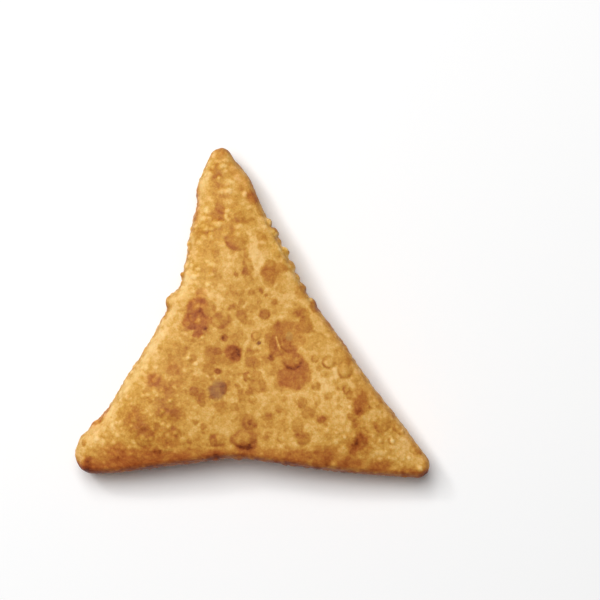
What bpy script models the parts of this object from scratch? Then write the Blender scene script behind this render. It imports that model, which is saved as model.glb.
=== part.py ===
"""A fried triangular samosa, lying on its back with its broad front face up.

One closed solid. Its outline is a triangle whose sides bow inwards between three rounded tips.
Rings of points follow that outline: from the flat patch that it rests on, up round the rolled
lower edge, up the leaning side wall, over the rolled upper edge, and across the crowned face to
a Y-shaped spine that runs from the middle of the face into each tip.
"""

import math

import bmesh
import bpy
import numpy as np

MM = 0.001

# ---- Driving dimensions, in millimetres -------------------------------------------------------
# Each tip is a round corner: its centre, seen from above, and its radius.
TIPS = {
    "left": ((-42.7, -37.6), 4.8),
    "top": ((-8.2, 41.2), 3.1),
    "right": ((44.3, -41.2), 3.1),
}
# Between two tips the pastry bows in from the straight line that touches both.
# Each pair is a share of the way along that side, and how far the edge lies inside the line.
LEFT_BOW = ((0.10, 2.0), (0.24, 4.6), (0.38, 6.0), (0.58, 6.8), (0.74, 4.6), (0.86, 1.9), (0.94, 0.0))
RIGHT_BOW = ((0.08, -0.9), (0.18, 0.5), (0.30, 1.9), (0.42, 2.9), (0.58, 2.1), (0.74, 1.7), (0.90, 0.4))
LOWER_BOW = ((0.12, 0.5), (0.30, 1.9), (0.45, 3.5), (0.58, 4.5), (0.70, 3.1), (0.84, 1.4), (0.94, 0.2))
SIDES = (("left", "top", LEFT_BOW), ("top", "right", RIGHT_BOW), ("right", "left", LOWER_BOW))
MIDDLE = (-2.0, -14.0)  # where the three arms meet

WAIST_HEIGHT = 6.0  # the outline is widest at this height
WALL_HEIGHT = 6.0  # from the waist up to the start of the upper roll
WALL_LEAN = 1.0  # how far the wall leans inwards over that height
UPPER_ROLL = 4.8  # radius of the rolled upper edge
CROWN = 4.0  # how much the face swells above the rolled edge
CROWN_REACH = 10.0  # how far from the edge the swelling has mostly happened
FLAT_SHARE = 0.78  # size of the flat resting patch, against the outline

# The arms grow thinner towards the tips: these shares are lost by the time a tip is reached.
TAPER_START, TAPER_END = 24.0, 56.0  # measured from the middle
WALL_TAPER = 0.55
ROLL_TAPER = 0.20

# Low swells where the filling presses against the face: x, y, radius, height.
SWELLS = (
    (-14.0, -8.0, 11.0, 0.7),
    (12.0, -20.0, 12.0, 0.6),
    (-4.0, 14.0, 9.0, 0.5),
    (-26.0, -27.0, 9.0, 0.6),
    (1.0, -30.0, 8.0, -0.5),
    (28.0, -31.0, 8.0, 0.4),
)

# ---- How finely the surface is divided ---------------------------------------------------------
POINTS_PER_HALF_SIDE = 17
POINTS_PER_TIP = 7
LOWER_ROLL_RINGS = 6
WALL_RINGS = 3
FACE_INSETS = (0.35, 1.0, 2.0, 3.3, 5.2, 8.0, 12.0, 18.0)  # of the rings across the face
EDGE_SAMPLES = 360  # points of the outline that the soft distance is measured to
SOFTNESS = 4.0  # power of the soft distance: a higher one gives a sharper ridge along an arm


def smooth_step(low, high, value):
    """0 below low, 1 above high, and an S-shaped cubic in between."""
    t = np.clip((value - low) / (high - low), 0.0, 1.0)
    return t * t * (3.0 - 2.0 * t)


def curve_through(knots, values, at):
    """A smooth curve through (knot, value) pairs: cubic pieces that share their slopes (Catmull-Rom)."""
    knots, values = np.array(knots), np.array(values)
    slopes = np.gradient(values, knots)
    index = np.clip(np.searchsorted(knots, at) - 1, 0, len(knots) - 2)
    step = knots[index + 1] - knots[index]
    t = (at - knots[index]) / step
    start = (2 * t**3 - 3 * t**2 + 1) * values[index] + (t**3 - 2 * t**2 + t) * step * slopes[index]
    end = (3 * t**2 - 2 * t**3) * values[index + 1] + (t**3 - t**2) * step * slopes[index + 1]
    return start + end


def touching_line(first, second):
    """The outward direction of the straight line that touches two tips, which lie in clockwise order."""
    (x0, y0), r0 = TIPS[first]
    (x1, y1), r1 = TIPS[second]
    along = np.array([x1 - x0, y1 - y0])
    length = np.hypot(*along)
    along = along / length
    left_of_it = np.array([-along[1], along[0]])
    sine = (r0 - r1) / length
    return math.sqrt(1.0 - sine * sine) * left_of_it + sine * along


def side_points(first, second, bow, shares):
    """Points on one bowed side, at shares of the way from its first tip to its second."""
    outward = touching_line(first, second)
    start = np.array(TIPS[first][0]) + TIPS[first][1] * outward
    end = np.array(TIPS[second][0]) + TIPS[second][1] * outward
    knots = [0.0] + [share for share, _ in bow] + [1.0]
    insets = [0.0] + [inset for _, inset in bow] + [0.0]
    inset = curve_through(knots, insets, shares)
    return start + np.outer(shares, end - start) - np.outer(inset, outward)


def tip_points(name, arriving, leaving):
    """Points round one tip, clockwise, without the two where the sides begin."""
    centre, radius = TIPS[name]
    begin = math.atan2(arriving[1], arriving[0])
    end = math.atan2(leaving[1], leaving[0])
    turn = (begin - end) % (2.0 * math.pi)
    angles = begin - turn * np.linspace(0.0, 1.0, POINTS_PER_TIP + 2)[1:-1]
    return np.array(centre) + radius * np.stack([np.cos(angles), np.sin(angles)], axis=1)


def outline_and_spine():
    """The outline's points, clockwise, and the spine point that each one is drawn towards.

    A half side's points go to points spread between its tip's centre and the middle of the face,
    and both half sides of an arm share them, so the rings close along the spine.
    """
    middle = np.array(MIDDLE)
    shares = np.linspace(0.0, 1.0, 2 * POINTS_PER_HALF_SIDE + 1)
    outline, spine = [], []
    for number, (first, second, bow) in enumerate(SIDES):
        outline.append(side_points(first, second, bow, shares))
        towards_middle = 1.0 - np.abs(2.0 * shares - 1.0)
        tips = np.where(shares[:, None] < 0.5, TIPS[first][0], TIPS[second][0])
        spine.append(tips + (middle - tips) * towards_middle[:, None])
        following = SIDES[(number + 1) % len(SIDES)]
        corner = tip_points(second, touching_line(first, second), touching_line(*following[:2]))
        outline.append(corner)
        spine.append(np.tile(TIPS[second][0], (len(corner), 1)))
    return np.concatenate(outline), np.concatenate(spine)


def evenly_spaced(loop, count):
    """The closed loop again, as count points an equal distance apart, and that distance."""
    closed = np.vstack([loop, loop[:1]])
    lengths = np.concatenate([[0.0], np.cumsum(np.hypot(*np.diff(closed, axis=0).T))])
    wanted = np.linspace(0.0, lengths[-1], count, endpoint=False)
    points = np.stack([np.interp(wanted, lengths, closed[:, k]) for k in (0, 1)], axis=1)
    return points, lengths[-1] / count


def soft_distance(points, edge, spacing):
    """Distance from each point to the edge, rounded off where two edges are equally near.

    It sums distance to the power -SOFTNESS over the whole edge. Beside a straight edge that sum
    has a known value, so it can be turned back into a distance.
    """
    apart = np.hypot(points[:, None, 0] - edge[None, :, 0], points[:, None, 1] - edge[None, :, 1])
    total = spacing * np.sum(np.maximum(apart, 0.3 * spacing) ** -SOFTNESS, axis=1)
    straight_edge = math.sqrt(math.pi) * math.gamma((SOFTNESS - 1.0) / 2.0) / math.gamma(SOFTNESS / 2.0)
    return (total / straight_edge) ** (-1.0 / (SOFTNESS - 1.0))


def taper(points):
    """0 in the body of the samosa and 1 at the tips."""
    return smooth_step(TAPER_START, TAPER_END, np.hypot(*(points - np.array(MIDDLE)).T))


def wall_top(points):
    """Height at which the side wall turns over into the upper roll."""
    return WAIST_HEIGHT + WALL_HEIGHT * (1.0 - WALL_TAPER * taper(points))


def face_height(points, distance):
    """Height of the front face: the wall's top, a quarter-circle roll, the crown and the swells."""
    across = np.clip(distance / UPPER_ROLL, 0.0, 1.0)
    roll = UPPER_ROLL * (1.0 - ROLL_TAPER * taper(points)) * np.sqrt(1.0 - (1.0 - across) ** 2)
    crown = CROWN * (1.0 - np.exp(-distance / CROWN_REACH))
    height = wall_top(points) + roll + crown
    for x, y, radius, rise in SWELLS:
        height += rise * across * np.exp(-(np.hypot(points[:, 0] - x, points[:, 1] - y) / radius) ** 2)
    return height


def surface_rings():
    """Rings of (x, y, z) points from the resting patch to the spine, one above or inside the other."""
    outline, spine = outline_and_spine()
    middle = np.array(MIDDLE)
    rings = []
    for angle in np.linspace(0.0, math.pi / 2.0, LOWER_ROLL_RINGS, endpoint=False):
        size = FLAT_SHARE + (1.0 - FLAT_SHARE) * math.sin(angle)
        height = WAIST_HEIGHT * (1.0 - math.cos(angle))
        rings.append(np.column_stack([middle + size * (outline - middle), np.full(len(outline), height)]))
    reach = np.hypot(*(spine - outline).T)
    direction = (spine - outline) / reach[:, None]
    rim = outline + WALL_LEAN * direction
    rim_height = wall_top(rim)
    for share in np.linspace(0.0, 1.0, WALL_RINGS + 1):
        place = outline + share * WALL_LEAN * direction
        rings.append(np.column_stack([place, WAIST_HEIGHT + share * (rim_height - WAIST_HEIGHT)]))
    edge, spacing = evenly_spaced(rim, EDGE_SAMPLES)
    left_over = reach - WALL_LEAN
    insets = [left_over * (1.0 - np.exp(-inset / left_over)) for inset in FACE_INSETS] + [left_over]
    for inset in insets:
        place = rim + inset[:, None] * direction
        rings.append(np.column_stack([place, face_height(place, soft_distance(place, edge, spacing))]))
    return rings


def samosa_mesh():
    """Joins the rings into one closed shell, and closes it below with the flat resting patch.

    Its origin is under the middle of its footprint, at the height that it rests on.
    """
    rings = surface_rings()
    widest = rings[LOWER_ROLL_RINGS]
    footprint_middle = (widest.min(axis=0) + widest.max(axis=0)) / 2.0 * (1.0, 1.0, 0.0)
    shell = bmesh.new()
    loops = []
    for ring in rings:
        loops.append([shell.verts.new(point * MM) for point in ring - footprint_middle])
    for lower, upper in zip(loops, loops[1:]):
        for k in range(len(lower)):
            after = (k + 1) % len(lower)
            shell.faces.new((lower[k], lower[after], upper[after], upper[k]))
    shell.faces.new(loops[0])
    bmesh.ops.remove_doubles(shell, verts=shell.verts[:], dist=0.002 * MM)
    bmesh.ops.dissolve_degenerate(shell, dist=0.002 * MM, edges=shell.edges[:])
    bmesh.ops.recalc_face_normals(shell, faces=shell.faces[:])
    mesh = bpy.data.meshes.new("samosa")
    shell.to_mesh(mesh)
    shell.free()
    return mesh


def fried_pastry():
    """Golden fried dough with a thin film of oil."""
    material = bpy.data.materials.new("fried_pastry")
    material.use_nodes = True
    shader = material.node_tree.nodes["Principled BSDF"]
    shader.inputs["Base Color"].default_value = (0.62, 0.33, 0.10, 1.0)
    shader.inputs["Roughness"].default_value = 0.45
    shader.inputs["Metallic"].default_value = 0.0
    return material


def build():
    for leftover in list(bpy.data.objects):
        bpy.data.objects.remove(leftover)
    samosa = bpy.data.objects.new("samosa", samosa_mesh())
    bpy.context.scene.collection.objects.link(samosa)
    samosa.data.materials.append(fried_pastry())
    samosa.data.shade_smooth()


build()
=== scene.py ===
# %% [markdown]
# # A fried samosa
#
# A samosa is a packet of thin wheat dough folded round a filling and fried in deep oil. This one is
# a bowed triangle about 95 mm wide. It can't stand by itself, so it lies on its back, broad face up.
# The solid frame already has its size and place. Everything below gives it its real crust: one
# closed skin with blisters, pebbles and browning, and then a floor, soft light and a camera.

# %% Load the frame
import itertools
import math

import bpy
import numpy as np
from mathutils import Matrix, Vector


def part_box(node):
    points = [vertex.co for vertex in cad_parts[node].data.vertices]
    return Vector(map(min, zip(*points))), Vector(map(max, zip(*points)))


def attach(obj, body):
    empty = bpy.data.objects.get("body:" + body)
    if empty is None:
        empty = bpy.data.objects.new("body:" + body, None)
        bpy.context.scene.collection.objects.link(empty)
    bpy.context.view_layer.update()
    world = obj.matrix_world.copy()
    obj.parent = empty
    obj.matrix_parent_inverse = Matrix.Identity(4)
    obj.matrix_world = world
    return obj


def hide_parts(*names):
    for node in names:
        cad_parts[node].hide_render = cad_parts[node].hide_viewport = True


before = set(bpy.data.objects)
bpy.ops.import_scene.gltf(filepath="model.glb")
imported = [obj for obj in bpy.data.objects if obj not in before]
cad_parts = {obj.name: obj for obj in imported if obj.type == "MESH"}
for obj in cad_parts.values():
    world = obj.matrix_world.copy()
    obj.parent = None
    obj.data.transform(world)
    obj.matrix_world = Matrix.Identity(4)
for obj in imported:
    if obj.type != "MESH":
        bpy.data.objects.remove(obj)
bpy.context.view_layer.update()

MM = 0.001
low, high = (np.array(corner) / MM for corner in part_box("samosa"))
print("frame, mm:", np.round(high - low, 1))

# %% [markdown]
# ## The outline
#
# Seen from above, the packet is a triangle with three rounded tips, and its sides bow inwards where
# the dough was pulled over the filling. A drawn curve with dozens of points could hold it, but then
# nobody could change it. Three circles and three short lists of insets say the same and stay easy
# to read: a side starts as the straight line that touches two circles, and is then bowed in.

# %% Tips and sides
TIP_RADIUS = {"left": 5.0, "top": 3.0, "right": 3.1}
TIPS = {
    "left": np.array([low[0] + TIP_RADIUS["left"], -38.1]),
    "top": np.array([-8.6, high[1] - TIP_RADIUS["top"]]),
    "right": np.array([high[0] - TIP_RADIUS["right"], low[1] + TIP_RADIUS["right"]]),
}
# Each pair is a share of the way along a side, and how far the edge lies inside the straight line.
LEFT_BOW = (
    (0.035, 0.1),
    (0.06, 1.3),
    (0.10, 2.1),
    (0.14, 3.2),
    (0.17, 3.7),
    (0.24, 4.4),
    (0.38, 6.1),
    (0.47, 6.8),
    (0.50, 6.9),
    (0.53, 5.9),
    (0.545, 6.0),
    (0.575, 7.3),
    (0.60, 7.4),
    (0.612, 7.1),
    (0.622, 6.55),
    (0.632, 6.7),
    (0.65, 6.3),
    (0.69, 5.6),
    (0.73, 4.5),
    (0.82, 2.8),
    (0.855, 2.1),
    (0.88, 0.7),
    (0.915, 0.2),
    (0.95, 0.1),
)
RIGHT_BOW = (
    (0.03, 0.1),
    (0.09, -0.6),
    (0.12, 0.0),
    (0.18, 1.0),
    (0.30, 2.3),
    (0.42, 3.5),
    (0.58, 2.6),
    (0.74, 2.1),
    (0.90, 0.7),
)
LOWER_BOW = ((0.12, 0.5), (0.30, 1.9), (0.45, 3.5), (0.58, 4.5), (0.70, 3.1), (0.84, 1.4), (0.94, 0.2))
SIDES = (("left", "top", LEFT_BOW), ("top", "right", RIGHT_BOW), ("right", "left", LOWER_BOW))
MIDDLE = np.array([-2.0, -14.0])  # where the three arms meet
HALF_SIDE_POINTS = 120
TIP_POINTS = 20


def smooth_step(start, end, value):
    """0 before start and 1 after end, with the S-shaped cubic 3t^2 - 2t^3 between. start may be the larger."""
    t = np.clip((value - start) / (end - start), 0.0, 1.0)
    return t * t * (3.0 - 2.0 * t)


def curve_through(knots, values, at):
    """A smooth curve through (knot, value) pairs: cubic pieces that share their slopes (Catmull-Rom)."""
    knots, values = np.array(knots), np.array(values)
    slopes = np.gradient(values, knots)
    index = np.clip(np.searchsorted(knots, at) - 1, 0, len(knots) - 2)
    step = knots[index + 1] - knots[index]
    t = (at - knots[index]) / step
    start = (2 * t**3 - 3 * t**2 + 1) * values[index] + (t**3 - 2 * t**2 + t) * step * slopes[index]
    end = (3 * t**2 - 2 * t**3) * values[index + 1] + (t**3 - t**2) * step * slopes[index + 1]
    return start + end


def touching_line(first, second):
    """The outward direction of the straight line that touches two tips, which lie in clockwise order.

    It is square to the line between the centres, tilted by the angle whose sine is the difference
    of the radii over the distance.
    """
    along = TIPS[second] - TIPS[first]
    length = np.hypot(*along)
    along = along / length
    sine = (TIP_RADIUS[first] - TIP_RADIUS[second]) / length
    return math.sqrt(1.0 - sine * sine) * np.array([-along[1], along[0]]) + sine * along


def side_points(first, second, bow):
    """Points along one side: the straight line at even shares, less the inset along its outward direction."""
    shares = np.linspace(0.0, 1.0, 2 * HALF_SIDE_POINTS + 1)
    outward = touching_line(first, second)
    start = TIPS[first] + TIP_RADIUS[first] * outward
    end = TIPS[second] + TIP_RADIUS[second] * outward
    knots = [0.0] + [share for share, _ in bow] + [1.0]
    insets = [0.0] + [inset for _, inset in bow] + [0.0]
    return start + np.outer(shares, end - start) - np.outer(curve_through(knots, insets, shares), outward)


def tip_points(name, arriving, leaving):
    """Points round one tip, clockwise: the centre plus the radius at evenly spaced angles."""
    begin = math.atan2(arriving[1], arriving[0])
    end = math.atan2(leaving[1], leaving[0])
    turn = (begin - end) % (2.0 * math.pi)
    angles = begin - turn * np.linspace(0.0, 1.0, TIP_POINTS + 2)[1:-1]
    return TIPS[name] + TIP_RADIUS[name] * np.stack([np.cos(angles), np.sin(angles)], axis=1)


# %% [markdown]
# ## The spine
#
# A surface on a grid needs a second line for the grid to run to. Here it is a Y: one branch from
# the middle of the face to each tip. Both half sides of an arm share that arm's points of the Y,
# and numbering them once lets the skin close there without merging anything by distance.

# %% Outline columns and the spine they run to
def outline_and_spine():
    """The outline clockwise, with the spine point of each outline point and that point's number.

    Spine point i of an arm lies i / HALF_SIDE_POINTS of the way from the tip's centre to the middle.
    The middle is the last number of all, and is the same for the three arms.
    """
    arms = list(TIPS)
    middle_number = len(arms) * HALF_SIDE_POINTS
    outline, spine, number = [], [], []
    step = np.arange(2 * HALF_SIDE_POINTS + 1)
    inwards = np.minimum(step, 2 * HALF_SIDE_POINTS - step)
    for place, (first, second, bow) in enumerate(SIDES):
        outline.append(side_points(first, second, bow))
        near_first = step < HALF_SIDE_POINTS
        tip = np.where(near_first[:, None], TIPS[first], TIPS[second])
        spine.append(tip + (MIDDLE - tip) * (inwards / HALF_SIDE_POINTS)[:, None])
        arm = np.where(near_first, arms.index(first), arms.index(second))
        number.append(np.where(inwards == HALF_SIDE_POINTS, middle_number, arm * HALF_SIDE_POINTS + inwards))
        following = SIDES[(place + 1) % len(SIDES)]
        outline.append(tip_points(second, touching_line(first, second), touching_line(*following[:2])))
        spine.append(np.tile(TIPS[second], (TIP_POINTS, 1)))
        number.append(np.full(TIP_POINTS, arms.index(second) * HALF_SIDE_POINTS))
    return np.concatenate(outline), np.concatenate(spine), np.concatenate(number)


outline, spine, spine_number = outline_and_spine()
columns = len(outline)
print("columns round the outline:", columns)

# %% [markdown]
# ## Height of the broad face
#
# The edge of the packet is a soft roll, and the face swells a little above it over the filling.
# Both depend only on how far a point is from the edge. The plain distance would leave a sharp
# ridge along each arm, where two edges are equally near, so further in it gives way to a soft
# distance that adds up the whole edge.

# %% Distance from the edge, and height from distance
WAIST_HEIGHT = 6.0  # the outline is widest at this height
WALL_HEIGHT = 7.4  # from the waist up to the start of the upper roll
WALL_LEAN = 0.0  # how far the left wall leans inwards over that height
STEEP_LEAN = -0.30  # on the two other sides it leans outwards a little
ROLL_RISE = 3.6  # height of the rolled upper edge
BROAD_ROLL, NARROW_ROLL, SPINE_ROLL = 3.9, 1.7, 2.8  # its width on the left side, the other sides, the spine
LEFT_SIDE = np.array([-0.90, 0.42])  # points out of the long left side
CROWN = 3.6  # how much the face swells above the rolled edge
CROWN_REACH = 11.0  # how far from the edge the swelling has mostly happened
TAPER_START, TAPER_END = 24.0, 56.0  # the arms grow thinner between these distances from the middle
WALL_TAPER = 0.48
ROLL_TAPER = 0.20
SOFTNESS = 4.0  # power of the soft distance
SOFT_FROM, SOFT_TO = 1.0, 3.0  # the plain distance gives way to the soft one between these
EDGE_SAMPLES = 360
# Low swells where the filling presses against the face: x, y, radius, height.
SWELLS = (
    (-14.0, -8.0, 11.0, 0.7),
    (12.0, -20.0, 12.0, 0.6),
    (-4.0, 14.0, 9.0, 0.5),
    (-26.0, -27.0, 9.0, 0.6),
    (1.0, -30.0, 8.0, -0.5),
    (28.0, -31.0, 8.0, 0.4),
)


def evenly_spaced(loop, count):
    """The closed loop again, as count points an equal distance apart, and that distance."""
    closed = np.vstack([loop, loop[:1]])
    lengths = np.concatenate([[0.0], np.cumsum(np.hypot(*np.diff(closed, axis=0).T))])
    wanted = np.linspace(0.0, lengths[-1], count, endpoint=False)
    return np.stack([np.interp(wanted, lengths, closed[:, k]) for k in (0, 1)], axis=1), lengths[-1] / count


def soft_distance(points, edge, spacing):
    """Distance to the edge, rounded off where two edges are equally near.

    It sums distance to the power -SOFTNESS over the whole edge. Beside a straight edge that sum
    has a known value, so it can be turned back into a distance.
    """
    apart = np.hypot(points[:, None, 0] - edge[None, :, 0], points[:, None, 1] - edge[None, :, 1])
    total = spacing * np.sum(np.maximum(apart, 0.3 * spacing) ** -SOFTNESS, axis=1)
    straight_edge = math.sqrt(math.pi) * math.gamma((SOFTNESS - 1.0) / 2.0) / math.gamma(SOFTNESS / 2.0)
    return (total / straight_edge) ** (-1.0 / (SOFTNESS - 1.0))


def plain_distance(points, loop):
    """Distance to the loop: the nearest of its points, then the nearer of the two stretches that meet there."""
    apart = np.hypot(points[:, None, 0] - loop[None, :, 0], points[:, None, 1] - loop[None, :, 1])
    nearest = np.argmin(apart, axis=1)
    best = np.full(len(points), np.inf)
    for step in (-1, 1):
        start, along = loop[nearest], loop[(nearest + step) % len(loop)] - loop[nearest]
        share = np.clip(np.sum((points - start) * along, axis=1) / np.sum(along * along, axis=1), 0.0, 1.0)
        best = np.minimum(best, np.hypot(*(points - start - share[:, None] * along).T))
    return best


def taper(points):
    """0 in the body of the samosa and 1 at the tips: a smooth step of the distance from the middle."""
    return smooth_step(TAPER_START, TAPER_END, np.hypot(*(points - MIDDLE).T))


def wall_top(points):
    """Height at which the side wall turns over into the upper roll."""
    return WAIST_HEIGHT + WALL_HEIGHT * (1.0 - WALL_TAPER * taper(points))


def face_height(points, distance, roll_width):
    """Height of the broad face: the wall's top, a quarter-ellipse roll, the crown and the swells."""
    across = np.clip(distance / roll_width, 0.0, 1.0)
    roll = ROLL_RISE * (1.0 - ROLL_TAPER * taper(points)) * np.sqrt(1.0 - (1.0 - across) ** 2)
    height = wall_top(points) + roll + CROWN * (1.0 - np.exp(-distance / CROWN_REACH))
    for x, y, radius, rise in SWELLS:
        height += rise * across * np.exp(-(np.hypot(points[:, 0] - x, points[:, 1] - y) / radius) ** 2)
    return height


# %% [markdown]
# ## One profile, carried round the outline
#
# The whole skin is one grid. Its columns are the outline's points, and along each column runs a
# profile: from the spine of the underside out to the edge of the resting patch, up the lower roll
# to the waist, up the wall, over the upper roll and in to the spine of the face. Rows are spaced
# evenly along the curve they follow, so the steep parts get as many as the flat ones.

# %% Rows of the profile
UNDERSIDE_ROWS = 20
LOWER_ROLL_ROWS = 21
WALL_ROWS = 15
FACE_ROWS = 66
FLAT_SHARE = 0.78  # size of the resting patch, against the outline


def inset_rows(reach, roll, count):
    """Distances in from the rim, rows by columns, evenly spaced along the profile's curve.

    The curve is a quarter circle of radius roll and then level. At length s along it the inset is
    roll * (1 - cos(s / roll)) on the circle, and roll + s - roll * pi / 2 after it.
    """
    on_roll = roll * np.arccos(1.0 - np.minimum(reach, roll) / roll)
    length = on_roll + np.maximum(reach - roll, 0.0)
    s = np.linspace(0.0, 1.0, count + 1)[1:, None] * length
    quarter = roll * math.pi / 2.0
    return np.where(s < quarter, roll * (1.0 - np.cos(np.minimum(s, quarter) / roll)), roll + s - quarter)


def raised(place, height):
    """Places seen from above and heights, as points."""
    return np.concatenate([place, np.broadcast_to(height, place.shape[:-1])[..., None]], axis=-1)


reach = np.hypot(*(spine - outline).T)
inwards = (spine - outline) / reach[:, None]
on_left = smooth_step(0.15, 0.75, -inwards @ LEFT_SIDE)
lean = STEEP_LEAN + (WALL_LEAN - STEEP_LEAN) * on_left
edge_roll = NARROW_ROLL + (BROAD_ROLL - NARROW_ROLL) * on_left
rim = outline + lean[:, None] * inwards
edge, edge_spacing = evenly_spaced(rim, EDGE_SAMPLES)


def underside_rows():
    """From the spine out to the edge of the resting patch, which is the outline drawn smaller about the middle."""
    share = np.linspace(1.0, 0.0, UNDERSIDE_ROWS + 1)[:-1, None, None]
    place = MIDDLE + FLAT_SHARE * (outline + share * (spine - outline) - MIDDLE)
    return raised(place, 0.0)


def lower_roll_rows():
    """The outline drawn at FLAT_SHARE growing to 1 with the sine of an angle, as the height grows with 1 - cosine."""
    angle = np.linspace(0.0, math.pi / 2.0, LOWER_ROLL_ROWS, endpoint=False)[:, None]
    size = FLAT_SHARE + (1.0 - FLAT_SHARE) * np.sin(angle)
    return raised(MIDDLE + size[..., None] * (outline - MIDDLE), WAIST_HEIGHT * (1.0 - np.cos(angle)))


def wall_rows():
    """Straight from the waist to the rim."""
    share = np.linspace(0.0, 1.0, WALL_ROWS + 1)[:, None]
    height = WAIST_HEIGHT + share * (wall_top(rim) - WAIST_HEIGHT)
    return raised(outline + share[..., None] * (rim - outline), height)


def face_rows():
    """In from the rim to the spine, at the height that the distance from the edge gives."""
    inset = inset_rows(reach - lean, ROLL_RISE, FACE_ROWS)
    rows = []
    for row in inset:
        place = rim + row[:, None] * inwards
        plain = plain_distance(place, rim)
        soft = soft_distance(place, edge, edge_spacing)
        distance = plain + (soft - plain) * smooth_step(SOFT_FROM, SOFT_TO, plain)
        roll_width = edge_roll + (SPINE_ROLL - edge_roll) * smooth_step(0.4, 1.0, row / inset[-1])
        rows.append(raised(place, face_height(place, distance, roll_width)))
    return np.array(rows)


profile = np.concatenate([underside_rows(), lower_roll_rows(), wall_rows(), face_rows()])
print("grid of rows by columns:", profile.shape[:2])

# %% [markdown]
# ## Closing the grid into one skin
#
# The first and the last row lie on the two spines, where columns from both sides of an arm meet.
# Each spine point is kept once. Between rows the faces are four-sided; round a tip several columns
# share one spine point, and there the faces have three sides.

# %% From grid to mesh
def closed_skin(rows):
    """Vertices, four-sided faces and three-sided faces of the grid, closed along both spines."""
    spine_count = spine_number.max() + 1
    below, above = np.zeros((spine_count, 3)), np.zeros((spine_count, 3))
    below[spine_number] = rows[0]
    above[spine_number] = rows[-1]
    inner = rows[1:-1].reshape(-1, 3)
    vertices = np.concatenate([below, inner, above])
    grid = spine_count + np.arange(len(inner)).reshape(-1, columns)
    grid = np.vstack([spine_number, grid, spine_count + len(inner) + spine_number])
    lower, upper = grid[:-1], grid[1:]
    after = lambda row: np.roll(row, -1, axis=1)
    faces = np.stack([lower, upper, after(upper), after(lower)], axis=-1).reshape(-1, 4)
    low_point = faces[:, 0] == faces[:, 3]
    high_point = faces[:, 1] == faces[:, 2]
    corners = np.concatenate([faces[low_point][:, [0, 1, 2]], faces[high_point][:, [0, 1, 3]]])
    return vertices, faces[~(low_point | high_point)], corners, grid


skin_points, quads, triangles, grid = closed_skin(profile)
print("skin:", len(skin_points), "vertices,", 2 * len(quads) + len(triangles), "triangles")


def make_mesh(name, points, *face_groups):
    """A mesh in metres from points in millimetres and groups of faces, each an array with one face a row."""
    mesh = bpy.data.meshes.new(name)
    mesh.from_pydata((points * MM).tolist(), [], [face for group in face_groups for face in group.tolist()])
    mesh.shade_smooth()
    return mesh


crust_mesh = make_mesh("fried_crust", skin_points, quads, triangles)


def skin_directions(mesh):
    """The outward direction at each vertex."""
    out = np.empty(len(mesh.vertices) * 3, np.float32)
    mesh.vertex_normals.foreach_get("vector", out)
    return out.reshape(-1, 3).astype(float)


outwards = skin_directions(crust_mesh)
print("outward at the highest point, z:", round(outwards[np.argmax(skin_points[:, 2]), 2], 3))

# %% [markdown]
# ## Chance that repeats
#
# Frying is random, but the same script must give the same samosa each time. Each whole-numbered
# place in space gets its own fixed random numbers by stirring its coordinates. From those come two
# patterns that need no list of places: soft noise, for mottling, and domes, for blisters.

# %% Random numbers, soft noise and scattered domes
STIR = (0x9E3779B97F4A7C15, 0xC2B2AE3D27D4EB4F, 0x165667B19E3779F9, 0xD6E8FEB86659FD93)


def chance(cells, seed):
    """A number from 0 to 1 for each row of three whole numbers: multiply, combine, shift and multiply twice."""
    x, y, z = (cells[:, k].astype(np.int64).astype(np.uint64) for k in range(3))
    mixed = x * np.uint64(STIR[0]) ^ y * np.uint64(STIR[1]) ^ z * np.uint64(STIR[2]) ^ np.uint64(seed * 7919 + 17)
    for factor in (STIR[3], STIR[0]):
        mixed = (mixed ^ (mixed >> np.uint64(32))) * np.uint64(factor)
    return (mixed >> np.uint64(40)).astype(float) / float(1 << 24)


def soft_noise(points, size, seed):
    """Soft noise from -1 to 1: random values on a lattice of that size, blended with 3t^2 - 2t^3 along each axis."""
    place = points / size
    cell = np.floor(place).astype(np.int64)
    t = place - cell
    t = t * t * (3.0 - 2.0 * t)
    total = np.zeros(len(points))
    for corner in itertools.product((0, 1), repeat=3):
        weight = np.prod(np.where(np.array(corner) == 1, t, 1.0 - t), axis=1)
        total += weight * chance(cell + corner, seed)
    return 2.0 * total - 1.0


def layered_noise(points, size, seed, layers=3):
    """Soft noise with finer layers added, each half the size and half the strength of the one before."""
    strengths = 0.5 ** np.arange(layers)
    total = sum(s * soft_noise(points, size * 0.5**k, seed + k) for k, s in enumerate(strengths))
    return total / strengths.sum() * 1.6


def stirred(points, size, strength, seed):
    """Places moved by soft noise of that size, so that circles drawn on them come out uneven."""
    return points + strength * np.stack([soft_noise(points, size, seed + k) for k in range(3)], axis=1)


LOWER_LEFT = np.array([-0.57, -0.82, 0.0])  # the side of a bubble turned from the lamp, where its rim is painted darker as shade


def scattered_domes(points, spacing, smallest, largest, share, seed):
    """Domes scattered through space: height here, the dome's random tone, and how far to its lower left.

    One ball is tried in each cube of that spacing, at a random place and with a random radius. At
    distance d from the middle of a ball of radius r the height is 1 - (d / r)^2. It goes on below
    zero outside the ball, down to -1, which leaves room for a ring round it. The highest dome counts.
    """
    cell = np.floor(points / spacing).astype(np.int64)
    height, tone, lean = np.full(len(points), -1.0), np.full(len(points), 0.5), np.zeros(len(points))
    for step in itertools.product((-1, 0, 1), repeat=3):
        near = cell + step
        centre = (near + np.stack([chance(near, seed + k) for k in range(3)], axis=1)) * spacing
        radius = smallest + (largest - smallest) * chance(near, seed + 3)
        dome = 1.0 - np.sum((points - centre) ** 2, axis=1) / radius**2
        taller = (dome > height) & (chance(near, seed + 4) < share)
        height = np.where(taller, dome, height)
        tone = np.where(taller, chance(near, seed + 5), tone)
        lean = np.where(taller, (points - centre) @ LOWER_LEFT / radius, lean)
    return height, tone, lean
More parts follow.
